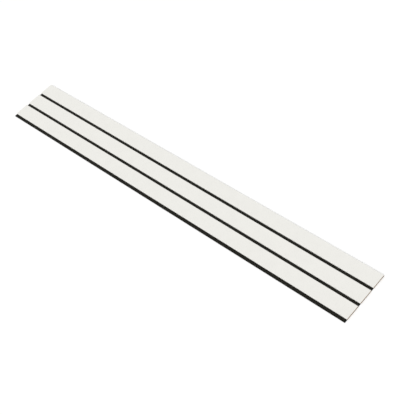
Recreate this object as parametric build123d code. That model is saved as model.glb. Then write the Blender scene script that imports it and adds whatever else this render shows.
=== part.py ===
"""Acoustic slat panel: foil-wrapped fibreboard slats bonded side by side to a sheet of felt.

Millimetres. The panel lies on its felt with the slats up: X runs along it, +Y points
across it from the bare felt lip to the flush edge, and +Z is up. The origin is the
centre of the felt's underside.
"""
import os

from build123d import *

# Panel
panel_length = 2400
slat_count = 3

# Slats, measured over the foil
slat_width = 82
slat_thickness = 6
slat_gap = 18

# Foil, and the round milled along the fibreboard's top edges so that it can follow them
foil_thickness = 0.3
core_edge_radius = 0.9

# Felt
felt_thickness = 3

# The felt runs one gap past the front slat, so the spacing carries on where the next panel butts
slat_pitch = slat_width + slat_gap
panel_width = slat_count * slat_pitch


def rounded_strip(width, thickness, edge_radius):
    """A strip standing on its flat back in the YZ plane, with its two top edges rounded."""
    blank = Rectangle(width, thickness, align=(Align.CENTER, Align.MIN))
    top_corners = blank.vertices().group_by(Axis.Y)[-1]
    return Plane.YZ * fillet(top_corners, edge_radius)


def full_length(section):
    """The section run out along X over the whole panel, evenly both ways from the origin."""
    return extrude(section, panel_length / 2, both=True)


def felt_backing():
    """Sheet of needled felt that carries the slats."""
    return Box(
        panel_length,
        panel_width,
        felt_thickness,
        align=(Align.CENTER, Align.CENTER, Align.MIN),
    )


def slat_sections():
    """Sections of one slat: the fibreboard core, and the foil round its face and long edges."""
    core = rounded_strip(
        slat_width - 2 * foil_thickness,
        slat_thickness - foil_thickness,
        core_edge_radius,
    )
    wrapped = rounded_strip(slat_width, slat_thickness, core_edge_radius + foil_thickness)
    return core, wrapped - core


def slat_seat(index):
    """Where slat number index sits on the felt, counted from the flush rear edge."""
    rear_edge = panel_width / 2
    return Pos(0, rear_edge - slat_width / 2 - index * slat_pitch, felt_thickness)


nodes = {"felt_backing": felt_backing()}
core_section, foil_section = slat_sections()
for index in range(slat_count):
    seat = slat_seat(index)
    nodes[f"slat_core_{index + 1}"] = seat * full_length(core_section)
    nodes[f"slat_foil_{index + 1}"] = seat * full_length(foil_section)

os.makedirs("parts", exist_ok=True)
for name, solid in nodes.items():
    export_step(solid, f"parts/{name}.step")
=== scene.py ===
from math import ceil, cos, pi, radians, sin

import bpy
import numpy as np
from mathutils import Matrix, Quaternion, Vector, noise


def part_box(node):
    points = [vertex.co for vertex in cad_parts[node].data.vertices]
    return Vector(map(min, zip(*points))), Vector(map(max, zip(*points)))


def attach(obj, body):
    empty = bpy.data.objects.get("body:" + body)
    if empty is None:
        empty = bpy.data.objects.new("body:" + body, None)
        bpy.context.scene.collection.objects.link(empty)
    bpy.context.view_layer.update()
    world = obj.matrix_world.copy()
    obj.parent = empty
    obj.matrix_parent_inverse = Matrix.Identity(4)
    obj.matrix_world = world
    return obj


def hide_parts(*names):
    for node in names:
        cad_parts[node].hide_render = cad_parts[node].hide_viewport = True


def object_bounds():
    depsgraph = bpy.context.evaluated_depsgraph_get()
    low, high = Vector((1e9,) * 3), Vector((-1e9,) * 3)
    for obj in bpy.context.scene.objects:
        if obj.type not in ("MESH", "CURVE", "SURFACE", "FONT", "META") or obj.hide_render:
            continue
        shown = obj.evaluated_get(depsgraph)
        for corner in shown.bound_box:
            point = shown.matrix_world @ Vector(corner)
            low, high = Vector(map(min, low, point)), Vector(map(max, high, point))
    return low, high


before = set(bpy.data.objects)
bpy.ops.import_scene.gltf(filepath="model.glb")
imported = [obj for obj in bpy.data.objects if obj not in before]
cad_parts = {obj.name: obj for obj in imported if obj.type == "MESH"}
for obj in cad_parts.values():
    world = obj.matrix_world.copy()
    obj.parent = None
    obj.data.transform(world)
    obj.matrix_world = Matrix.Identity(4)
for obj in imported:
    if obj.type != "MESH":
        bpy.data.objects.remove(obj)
cad_low, cad_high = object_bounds()

# Felt backing: a stiff sheet of black needled polyester felt, sheared square on all four sides.
# The slats are glued down on it. It shows in the gaps between them and along the bare lip,
# where nothing presses its fibres flat and they loft up a little.
mm = 0.001
felt_low, felt_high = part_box("felt_backing")
foil_nodes = sorted(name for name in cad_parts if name.startswith("slat_foil"))
slat_spans = sorted((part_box(name)[0].y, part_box(name)[1].y) for name in foil_nodes)

felt_bare_step = 1.5 * mm
felt_covered_step = 12.0 * mm
felt_length_step = 4.0 * mm
felt_cut_rows = np.array([0.0, 0.3, 0.8, 1.6]) * mm
felt_cut_round = 0.6 * mm
felt_cut_wander = 0.25 * mm
felt_loft = 0.21 * mm
felt_loft_run = 2.5 * mm
felt_tuft = 5.0 * mm
felt_tuft_rise = 0.35 * mm
felt_dent = 10.0 * mm
felt_dent_depth = 0.15 * mm

# Bake map: most of it for the upper side, which shows
felt_map_folds = 5
felt_map_shares = (0.84, 0.10)

# Felt colours: the first is painted shade for the hollows between fibres, the other two are the fibres'
# own black and charcoal
felt_hollow_shade = (0.0025, 0.0023, 0.0016)
felt_black = (0.0090, 0.0085, 0.0061)
felt_charcoal = (0.0600, 0.0570, 0.0450)
felt_mottle = 6.0 * mm
felt_relief = 0.5 * mm
fibre_angles = (radians(8), radians(68), radians(127))
fibre_spans = (5.0 * mm, 0.25 * mm, 0.35 * mm)
fibre_bend = 3.0 * mm
fibre_bend_size = 4.5 * mm


def spaced(low, high, step):
    """Even places from low to high, at most one step apart."""
    return np.linspace(low, high, ceil((high - low) / step) + 1)


def smooth_ramp(distance, run):
    """0 at no distance, rising softly to 1 where the distance reaches run."""
    t = np.clip(np.asarray(distance) / run, 0, 1)
    return t * t * (3 - 2 * t)


def ripple(x, y, z, size):
    """Soft noise from about -1 to 1 whose lumps are about as wide as size."""
    return noise.noise(Vector((x, y, z)) / size)


def grid_faces(numbers):
    """Quads over a 2-D array of vertex numbers, wound from its first axis to its second."""
    corners = numbers[:-1, :-1], numbers[1:, :-1], numbers[1:, 1:], numbers[:-1, 1:]
    return np.stack(corners, axis=-1).reshape(-1, 4)


def map_cells(rows, columns, folds, low, high):
    """Corners of a grid's faces on a bake map: equal cells, the rows cut into bands from low to high."""
    in_band = ceil(rows / folds)
    band, row = np.divmod(np.arange(rows), in_band)
    u = (row[:, None] + [0, 1, 1, 0]) / in_band
    v = (np.arange(columns)[:, None] + [0, 0, 1, 1]) / columns
    v = low + (high - low) * (band[:, None, None] + v) / folds
    return np.stack(np.broadcast_arrays(u[:, None], v), axis=-1).reshape(-1, 2)


def slab_between(upper, lower, folds, shares):
    """Vertices, faces and bake map of a closed slab: two facing grids of places, joined round their rims.

    On the map each grid is cut into as many bands as folds says, so that a long piece fills a square.
    shares are the two grids' shares of the map, and the rim has the rest.
    """
    first = np.arange(upper[..., 0].size).reshape(upper.shape[:2])
    second = first + first.size
    rim = np.concatenate([first[:, 0], first[-1, 1:], first[-2::-1, -1], first[0, -2::-1]])
    wall = np.stack([rim + first.size, rim], axis=1)
    places = np.concatenate([upper.reshape(-1, 3), lower.reshape(-1, 3)])
    faces = np.concatenate([grid_faces(first), grid_faces(second[:, ::-1]), grid_faces(wall)])
    rows, columns = first.shape[0] - 1, first.shape[1] - 1
    bake_map = np.concatenate([
        map_cells(rows, columns, folds, 0, shares[0]),
        map_cells(rows, columns, folds, shares[0], sum(shares)),
        map_cells(len(rim) - 1, 1, folds, sum(shares), 1),
    ])
    return places, faces.tolist(), bake_map


def mesh_piece(name, places, faces, bake_map, material, sharp_angle):
    """A new smooth-shaded mesh object, creased where it turns past sharp_angle. bake_map may be None."""
    mesh = bpy.data.meshes.new(name)
    mesh.from_pydata(np.asarray(places).tolist(), [], faces)
    if bake_map is not None:
        mesh.uv_layers.new(name="OFBake").uv.foreach_set("vector", np.float32(bake_map).ravel())
    mesh.validate()
    mesh.shade_smooth()
    mesh.set_sharp_from_angle(angle=sharp_angle)
    mesh.materials.append(material)
    piece = bpy.data.objects.new(name, mesh)
    bpy.context.scene.collection.objects.link(piece)
    return piece


def new_material(name):
    """A material with one Principled shader, returned with its node tree and that shader."""
    material = bpy.data.materials.new(name)
    material.use_nodes = True
    tree = material.node_tree
    return material, tree, tree.nodes["Principled BSDF"]


def add_node(tree, kind, inputs=(), **settings):
    """A node of that kind. An input given as a socket is linked, and any other is set."""
    node = tree.nodes.new(kind)
    for name, value in settings.items():
        setattr(node, name, value)
    for name, value in dict(inputs).items():
        if isinstance(value, bpy.types.NodeSocket):
            tree.links.new(value, node.inputs[name])
        else:
            node.inputs[name].default_value = value
    return node


def object_place(tree):
    """Places in the panel's own metres, so that a pattern keeps its real size and stays put."""
    return add_node(tree, "ShaderNodeTexCoord").outputs["Object"]


def lumps(tree, place, size, detail, roughness):
    """A noise texture whose lumps are about as wide as size."""
    return add_node(tree, "ShaderNodeTexNoise", {
        "Vector": place, "Scale": 1 / size, "Detail": detail, "Roughness": roughness,
    })


def streaks(tree, place, spans, turn, detail, roughness, distortion):
    """Heights of noise drawn out to those spans along X, Y and Z, then turned about Z."""
    along = add_node(tree, "ShaderNodeMapping", {
        "Vector": place, "Rotation": (0, 0, turn), "Scale": spans,
    }, vector_type="TEXTURE")
    return add_node(tree, "ShaderNodeTexNoise", {
        "Vector": along.outputs["Vector"],
        "Scale": 1.0, "Detail": detail, "Roughness": roughness, "Distortion": distortion,
    }).outputs["Fac"]


def mixed_heights(tree, first, second, share):
    """A blend of two heights, with that share of the second."""
    mix = add_node(tree, "ShaderNodeMix", {"Factor": share, "A": first, "B": second}, data_type="FLOAT")
    return mix.outputs["Result"]


def ramp_colours(tree, height, stops):
    """Colours over a height, from (place, colour) stops."""
    ramp = add_node(tree, "ShaderNodeValToRGB", {"Fac": height})
    elements = ramp.color_ramp.elements
    while len(elements) < len(stops):
        elements.new(1.0)
    for element, (place, colour) in zip(elements, stops):
        element.position = place
        element.color = (*colour, 1.0)
    return ramp.outputs["Color"]


def felt_material():
    """Black felt: bent fibres matted together at several angles, in soft tufts, with no gloss. Its lowest
    places get painted shade, for the hollows of the mat.
    """
    material, tree, shader = new_material("black_needled_felt")
    place = object_place(tree)
    bends = lumps(tree, place, fibre_bend_size, detail=1.0, roughness=0.5)
    bent = add_node(tree, "ShaderNodeVectorMath", {
        0: bends.outputs["Color"], 1: (fibre_bend,) * 3, 2: place,
    }, operation="MULTIPLY_ADD").outputs["Vector"]
    matted, *over = [
        streaks(tree, bent, fibre_spans, angle, detail=3.0, roughness=0.55, distortion=0.9)
        for angle in fibre_angles
    ]
    for fibres in over:
        matted = add_node(tree, "ShaderNodeMath", {0: matted, 1: fibres}, operation="MAXIMUM").outputs[0]
    tufts = lumps(tree, place, felt_mottle, detail=4.0, roughness=0.6).outputs["Fac"]
    height = mixed_heights(tree, matted, tufts, share=0.25)
    # Painted shade: the lowest heights take a near-black, standing in for shade in the hollows between
    # fibres
    shade = ramp_colours(tree, height, [(0.44, felt_hollow_shade), (0.57, felt_black), (0.70, felt_charcoal)])
    relief = add_node(tree, "ShaderNodeBump", {
        "Height": height, "Strength": 0.9, "Distance": felt_relief,
    })
    tree.links.new(shade, shader.inputs["Base Color"])
    tree.links.new(relief.outputs["Normal"], shader.inputs["Normal"])
    shader.inputs["Roughness"].default_value = 0.95
    shader.inputs["Specular IOR Level"].default_value = 0.12
    shader.inputs["Sheen Weight"].default_value = 0.04
    shader.inputs["Sheen Roughness"].default_value = 0.5
    return material


def felt_columns():
    """Places across the felt, close together where it is bare and wide apart under the slats."""
    columns = [felt_low.y + felt_cut_rows]
    for slat_from, slat_to in slat_spans:
        columns.append(spaced(columns[-1][-1], slat_from, felt_bare_step)[1:])
        columns.append(spaced(slat_from, slat_to, felt_covered_step)[1:])
    return np.concatenate(columns)


def lengthwise_rows(low_x, high_x, end_rows, step):
    """Places along the panel: end_rows in from each of its two ends, and even steps between them."""
    low_rows = low_x + end_rows
    high_rows = high_x - end_rows[::-1]
    return np.concatenate([low_rows, spaced(low_rows[-1], high_rows[0], step)[1:-1], high_rows])


def felt_mesh():
    """The felt's vertices, faces and bake map: a lofted upper side, a nearly flat back, four cut edges."""
    x = lengthwise_rows(felt_low.x, felt_high.x, felt_cut_rows, felt_length_step)
    y = felt_columns()
    from_slat = np.min([np.maximum(low - y, y - high) for low, high in slat_spans], axis=0)
    freedom = smooth_ramp(from_slat, felt_loft_run)
    end_fall = 1 - smooth_ramp(np.minimum(x - felt_low.x, felt_high.x - x), felt_cut_rows[-1])
    lip_fall = 1 - smooth_ramp(y - felt_low.y, felt_cut_rows[-1])
    upper = np.empty((len(x), len(y), 3))
    lower = np.empty_like(upper)
    for i, along in enumerate(x):
        for j, across in enumerate(y):
            rise = felt_loft + felt_tuft_rise * ripple(along, across, 0, felt_tuft)
            fall = felt_cut_round * max(end_fall[i], lip_fall[j]) if from_slat[j] > 0 else 0
            upper[i, j] = along, across, felt_high.z + freedom[j] * rise - fall
            dent = 0.5 + 0.5 * ripple(along, across, 1, felt_dent)
            lower[i, j] = along, across, felt_low.z + felt_dent_depth * dent
    for side, inward in ((0, 1), (-1, -1)):
        for j, across in enumerate(y):
            wander = inward * felt_cut_wander * abs(ripple(side, across, 2, felt_tuft))
            upper[side, j, 0] += wander
            lower[side, j, 0] += wander
        for i, along in enumerate(x):
            wander = inward * felt_cut_wander * abs(ripple(along, side, 3, felt_tuft))
            upper[i, side, 1] += wander
            lower[i, side, 1] += wander
    return slab_between(upper, lower, felt_map_folds, felt_map_shares)


felt = mesh_piece("needled_felt", *felt_mesh(), felt_material(), sharp_angle=radians(50))
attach(felt, "root")
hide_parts("felt_backing")

# Loose fibres: ends of the felt's own polyester fibres that the needles didn't catch.
# They stand up from the bare strips and out of the lip's sheared edge, curl over and point down again.
loose_count = 9000
loose_edge_share = 0.25
loose_seed = 7
loose_length = (0.8 * mm, 3.2 * mm)
loose_radius = 0.022 * mm
loose_parts = 3
loose_lean = (radians(4), radians(50))
loose_droop = 1.7
loose_curl = radians(75)
loose_reach = 0.8 * mm

loose_dark = (0.0150, 0.0142, 0.0100)
loose_pale = (0.0420, 0.0398, 0.0290)
loose_dye_size = 2.0 * mm


def loose_material():
    """Single felt fibres: paler than the mat, because light gets at them all round, and unevenly dyed."""
    material, tree, shader = new_material("loose_felt_fibre")
    dye = lumps(tree, object_place(tree), loose_dye_size, detail=2.0, roughness=0.5).outputs["Fac"]
    shade = ramp_colours(tree, dye, [(0.38, loose_dark), (0.62, loose_pale)])
    tree.links.new(shade, shader.inputs["Base Color"])
    shader.inputs["Roughness"].default_value = 0.7
    shader.inputs["Specular IOR Level"].default_value = 0.3
    return material


def bare_strips():
    """The felt's bare strips from the lip to the rear, each given by its two sides."""
    starts = [felt_low.y] + [slat_to for _, slat_to in slat_spans[:-1]]
    ends = [slat_from for slat_from, _ in slat_spans]
    return np.stack([starts, ends], axis=1)


def loose_roots(rng):
    """Where each loose fibre starts, its heading, and the two sides that it stays between."""
    strips = bare_strips()
    sides = strips[rng.integers(len(strips), size=loose_count)]
    x = rng.uniform(felt_low.x, felt_high.x, loose_count)
    y = rng.uniform(sides[:, 0], sides[:, 1])
    z = np.full(loose_count, felt_high.z)
    heading = rng.uniform(0, 2 * pi, loose_count)
    on_edge = rng.random(loose_count) < loose_edge_share
    sides[on_edge] = strips[0]
    y[on_edge] = felt_low.y + felt_cut_wander
    z[on_edge] = rng.uniform(felt_low.z, felt_high.z, on_edge.sum())
    heading[on_edge] = rng.uniform(-pi, 0, on_edge.sum())
    sides[sides[:, 0] == felt_low.y, 0] -= loose_reach
    return np.stack([x, y, z], axis=1), heading, sides


def loose_lines(rng):
    """Points along each loose fibre, and its heading where it leaves the felt."""
    root, heading, sides = loose_roots(rng)
    length = rng.uniform(*loose_length, loose_count)
    lean = rng.uniform(*loose_lean, loose_count)
    curl = rng.uniform(-loose_curl, loose_curl, loose_count)
    points = [root]
    for done in np.linspace(0, 1, loose_parts):
        turn = heading + curl * done
        rise = lean * (1 - loose_droop * done)
        step = np.stack([np.cos(turn) * np.cos(rise), np.sin(turn) * np.cos(rise), np.sin(rise)], axis=1)
        points.append(points[-1] + step * length[:, None] / loose_parts)
    lines = np.stack(points, axis=1)
    lines[..., 0] = np.clip(lines[..., 0], felt_low.x, felt_high.x)
    lines[..., 1] = np.clip(lines[..., 1], sides[:, :1], sides[:, 1:])
    lines[..., 2] = np.maximum(lines[..., 2], felt_low.z + loose_radius)
    return lines, heading


def loose_mesh():
    """The loose fibres' vertices and faces, with no map: thin closed strands, three-sided in section."""
    lines, heading = loose_lines(np.random.default_rng(loose_seed))
    across = np.stack([-np.sin(heading), np.cos(heading), 0 * heading], axis=1)
    corners = [across * cos(a) + np.array([0, 0, sin(a)]) for a in (pi / 2, pi * 7 / 6, pi * 11 / 6)]
    places = lines[:, :, None] + loose_radius * np.stack(corners, axis=1)[:, None]
    numbers = np.arange(places[..., 0].size).reshape(places.shape[:3])
    near, far = numbers[:, :-1], numbers[:, 1:]
    sides = np.stack([near, np.roll(near, -1, axis=2), np.roll(far, -1, axis=2), far], axis=-1)
    faces = sides.reshape(-1, 4).tolist() + numbers[:, 0, ::-1].tolist() + numbers[:, -1].tolist()
    return places.reshape(-1, 3), faces, None


loose_fibres = mesh_piece("loose_felt_fibres", *loose_mesh(), loose_material(), sharp_angle=pi)
loose_fibres.parent = felt

# Slat cores: strips of medium density fibreboard, rounded along the top edges and glued to the felt.
# Only their raw ends show: brown, finely layered, scored by the saw and torn where the board is softest.
core_edge_round = 0.9 * mm
core_edge_turns = 6
core_end_step = 0.35 * mm
saw_radius = 150.0 * mm
saw_mark_pitch = 1.3 * mm
saw_mark_depth = 0.072 * mm
saw_mark_patch = 5.2 * mm
torn_size = 0.9 * mm
torn_depth = 0.30 * mm
core_shelter = 0.5 * mm

# Bake map: nearly all of it for the two ends, since the rest is covered
core_map_folds = 3
core_map_shares = (0.47, 0.47)

board_dark = (0.190, 0.106, 0.046)
board_brown = (0.312, 0.187, 0.087)
board_pale = (0.446, 0.293, 0.156)
board_layers = (0.6 * mm, 0.6 * mm, 0.16 * mm)
board_fleck = 0.24 * mm
board_relief = 0.15 * mm
board_press = 0.14
board_press_power = 4


def pressed_shade(tree, place, height):
    """The height, lowered towards the board's two faces, which the press leaves densest and darkest."""
    low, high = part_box("slat_core_1")
    up = add_node(tree, "ShaderNodeSeparateXYZ", {"Vector": place}).outputs["Z"]
    off_middle = add_node(tree, "ShaderNodeMapRange", {
        "Value": up, "From Min": (low.z + high.z) / 2, "From Max": high.z,
    }, clamp=False)
    density = add_node(tree, "ShaderNodeMath", {
        0: off_middle.outputs["Result"], 1: board_press_power,
    }, operation="POWER")
    return add_node(tree, "ShaderNodeMath", {
        0: density.outputs[0], 1: -board_press, 2: height,
    }, operation="MULTIPLY_ADD").outputs[0]


def fibreboard_material():
    """Raw fibreboard: pressed wood fibres in thin layers, with darker flecks of bark and glue."""
    material, tree, shader = new_material("raw_fibreboard")
    place = object_place(tree)
    layers = streaks(tree, place, board_layers, turn=0, detail=5.0, roughness=0.7, distortion=0.4)
    flecks = lumps(tree, place, board_fleck, detail=2.0, roughness=0.6).outputs["Fac"]
    height = mixed_heights(tree, layers, flecks, share=0.35)
    pressed = pressed_shade(tree, place, height)
    shade = ramp_colours(tree, pressed, [(0.30, board_dark), (0.47, board_brown), (0.65, board_pale)])
    relief = add_node(tree, "ShaderNodeBump", {
        "Height": height, "Strength": 0.6, "Distance": board_relief,
    })
    tree.links.new(shade, shader.inputs["Base Color"])
    tree.links.new(relief.outputs["Normal"], shader.inputs["Normal"])
    shader.inputs["Roughness"].default_value = 0.9
    shader.inputs["Specular IOR Level"].default_value = 0.2
    return material


def crest_line(low, high, edge_round, step):
    """Places (y, z) over a strip from side to side: a rounded edge, the flat top, a rounded edge."""
    turn = np.linspace(0, pi / 2, core_edge_turns + 1)
    inward = edge_round * (1 - np.cos(turn))
    drop = edge_round * (1 - np.sin(turn))
    flat = spaced(low.y + edge_round, high.y - edge_round, step)[1:-1]
    y = np.concatenate([low.y + inward, flat, high.y - inward[::-1]])
    z = high.z - np.concatenate([drop, 0 * flat, drop[::-1]])
    return y, z


def core_mesh(low, high):
    """One core's vertices, faces and bake map: a strip with saw marks and torn fibres at both ends."""
    y, crest = crest_line(low, high, core_edge_round, core_end_step)
    share = spaced(0, 1, core_end_step / (high.z - low.z))
    z = low.z + share * (crest - low.z)[:, None]
    ends = []
    for end_x, inward in ((high.x, -1), (low.x, 1)):
        face = np.empty((len(y), len(share), 3))
        for j, across in enumerate(y):
            for k, up in enumerate(z[j]):
                sweep = across + (up - low.z) ** 2 / saw_radius
                score = 0.5 + 0.5 * sin(2 * pi * sweep / saw_mark_pitch)
                mark = saw_mark_depth * score * (1 + ripple(end_x, sweep, 0, saw_mark_patch))
                softness = 4 * share[k] * (1 - share[k])
                torn = torn_depth * softness * max(0, ripple(end_x, across, up, torn_size))
                from_rim = min(across - low.y, high.y - across, up - low.z, crest[j] - up)
                depth = (mark + torn) * smooth_ramp(from_rim, core_shelter)
                face[j, k] = end_x + inward * depth, across, up
        ends.append(face)
    return slab_between(*ends, core_map_folds, core_map_shares)


fibreboard = fibreboard_material()
for node in sorted(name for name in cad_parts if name.startswith("slat_core")):
    name = node.replace("slat", "sawn")
    core = mesh_piece(name, *core_mesh(*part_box(node)), fibreboard, sharp_angle=radians(40))
    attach(core, "root")
    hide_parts(node)

# Slat foils: matt off-white decor foil, hot-glued round the face and both long edges of each core.
# It is sawn off with the core at both ends, where it shows as a thin pale line with a ragged rim.
foil_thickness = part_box("slat_foil_1")[1].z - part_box("slat_core_1")[1].z
foil_face_step = 1.0 * mm
foil_length_step = 50.0 * mm
foil_rim_rows = np.array([0.0, 0.4]) * mm
foil_chip = 1.3 * mm
foil_chip_depth = 0.18 * mm

# Bake map: nearly all of it for the outer side
foil_map_folds = 5
foil_map_shares = (0.90, 0.05)

foil_shade = (0.841, 0.832, 0.792)
foil_light = (0.865, 0.856, 0.815)
foil_cloud = 40.0 * mm
foil_grain = 0.45 * mm
foil_grain_depth = 0.06 * mm
foil_roughness = (0.60, 0.70)


def foil_material():
    """Off-white foil: nearly even in tone, with a fine embossed grain and a matt face."""
    material, tree, shader = new_material("off_white_foil")
    place = object_place(tree)
    cloud = lumps(tree, place, foil_cloud, detail=3.0, roughness=0.5).outputs["Fac"]
    grain = lumps(tree, place, foil_grain, detail=2.0, roughness=0.5).outputs["Fac"]
    shade = ramp_colours(tree, cloud, [(0.25, foil_shade), (0.75, foil_light)])
    relief = add_node(tree, "ShaderNodeBump", {
        "Height": grain, "Strength": 0.9, "Distance": foil_grain_depth,
    })
    gloss = add_node(tree, "ShaderNodeMapRange", {
        "Value": cloud, "To Min": foil_roughness[0], "To Max": foil_roughness[1],
    })
    tree.links.new(shade, shader.inputs["Base Color"])
    tree.links.new(relief.outputs["Normal"], shader.inputs["Normal"])
    tree.links.new(gloss.outputs["Result"], shader.inputs["Roughness"])
    shader.inputs["Specular IOR Level"].default_value = 0.2
    return material


def wrap_line(low, high, inset):
    """Places (y, z) round a slat from foot to foot, at that depth below the foil's outer side."""
    edge_round = core_edge_round + foil_thickness - inset
    low_in = low + Vector((0, inset, 0))
    high_in = high - Vector((0, inset, inset))
    y, z = crest_line(low_in, high_in, edge_round, foil_face_step)
    rise = spaced(low.z, z[0], foil_face_step)[:-1]
    beside = np.ones_like(rise)
    return np.concatenate([beside * y[0], y, beside * y[-1]]), np.concatenate([rise, z, rise[::-1]])


def foil_mesh(low, high):
    """One foil's vertices, faces and bake map: a thin shell folded over a slat, chipped at both ends."""
    x = lengthwise_rows(low.x, high.x, foil_rim_rows, foil_length_step)
    outer_y, outer_z = wrap_line(low, high, 0)
    skins = []
    for inset in (0, foil_thickness):
        y, z = wrap_line(low, high, inset)
        skin = np.empty((len(x), len(y), 3))
        skin[..., 0] = x[:, None]
        skin[..., 1] = y
        skin[..., 2] = z
        for end, inward in ((0, 1), (-1, -1)):
            for j in range(len(y)):
                chip = max(0, ripple(x[end], outer_y[j], outer_z[j], foil_chip))
                skin[end, j, 0] += inward * foil_chip_depth * chip
        skins.append(skin)
    return slab_between(*skins, foil_map_folds, foil_map_shares)


off_white_foil = foil_material()
for node in foil_nodes:
    name = node.replace("slat", "wrapped")
    foil = mesh_piece(name, *foil_mesh(*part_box(node)), off_white_foil, sharp_angle=radians(40))
    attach(foil, "root")
    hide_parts(node)

# Floor and light: a wide white floor under an even white sky, with one broad soft lamp from the front
# right, on the near end's side. The floor looks white to the camera and keeps the panel's faint shadow.
floor_half = 150.0
floor_drop = 0.2 * mm
floor_white = (0.97, 0.97, 0.97, 1)
floor_glow = 0.08
sky_strength = 0.56
lamp_strength = 1.886
lamp_angle = radians(50)
lamp_from = Vector((0.40, -0.55, 0.733))


def backdrop_world():
    """Even sky light. The camera and mirror-like surfaces see plain white instead."""
    world = bpy.data.worlds.new("white_studio")
    world.use_nodes = True
    tree = world.node_tree
    tree.nodes.clear()
    path = add_node(tree, "ShaderNodeLightPath")
    seen = add_node(tree, "ShaderNodeMath", {
        0: path.outputs["Is Camera Ray"], 1: path.outputs["Is Glossy Ray"],
    }, operation="MAXIMUM")
    seen = add_node(tree, "ShaderNodeMath", {
        0: seen.outputs[0], 1: path.outputs["Is Transmission Ray"],
    }, operation="MAXIMUM")
    light = add_node(tree, "ShaderNodeBackground", {"Color": (1, 1, 1, 1), "Strength": sky_strength})
    white = add_node(tree, "ShaderNodeBackground", {"Color": (1, 1, 1, 1), "Strength": 1.0})
    mixed = add_node(tree, "ShaderNodeMixShader", {
        0: seen.outputs[0], 1: light.outputs[0], 2: white.outputs[0],
    })
    add_node(tree, "ShaderNodeOutputWorld", {"Surface": mixed.outputs[0]})
    return world


def floor_material():
    """White floor: diffuse, so that it keeps shadows, with a trace of its own light for the camera."""
    material, tree, shader = new_material("white_floor")
    shader.inputs["Base Color"].default_value = floor_white
    shader.inputs["Roughness"].default_value = 1.0
    shader.inputs["Specular IOR Level"].default_value = 0.0
    shader.inputs["Emission Color"].default_value = (1, 1, 1, 1)
    path = add_node(tree, "ShaderNodeLightPath")
    glow = add_node(tree, "ShaderNodeMath", {
        0: path.outputs["Is Camera Ray"], 1: floor_glow,
    }, operation="MULTIPLY")
    tree.links.new(glow.outputs[0], shader.inputs["Emission Strength"])
    return material


bpy.context.scene.world = backdrop_world()
floor_corners = [
    (across * floor_half, deep * floor_half, -floor_drop)
    for across, deep in ((-1, -1), (1, -1), (1, 1), (-1, 1))
]
floor = mesh_piece("floor", floor_corners, [(0, 1, 2, 3)], None, floor_material(), sharp_angle=pi)
lamp = bpy.data.objects.new("soft_lamp", bpy.data.lights.new("soft_lamp", "SUN"))
lamp.data.energy = lamp_strength
lamp.data.angle = lamp_angle
lamp.rotation_euler = lamp_from.to_track_quat("Z", "Y").to_euler()
bpy.context.scene.collection.objects.link(lamp)

# Camera: above the near end and to the front, tipped over to the right, with a short telephoto lens.
# Its place was found by lining up the panel's corners and gaps with the photograph.
camera_aim = Vector((0.2532, -0.0166, cad_high.z))
camera_azimuth = radians(55.21)
camera_elevation = radians(50.42)
camera_roll = radians(-16.94)
camera_distance = 4.0936
camera_lens = 70.0
camera_sensor = 36.0

back = Vector((
    sin(camera_azimuth) * cos(camera_elevation),
    -cos(camera_azimuth) * cos(camera_elevation),
    sin(camera_elevation),
))
camera = bpy.data.objects.new("camera", bpy.data.cameras.new("camera"))
camera.data.lens = camera_lens
camera.data.sensor_width = camera_sensor
camera.location = camera_aim + camera_distance * back
camera_turn = back.to_track_quat("Z", "Y") @ Quaternion((0, 0, 1), camera_roll)
camera.rotation_euler = camera_turn.to_euler()
bpy.context.scene.collection.objects.link(camera)
bpy.context.scene.camera = camera
bpy.context.scene.view_settings.view_transform = "Standard"
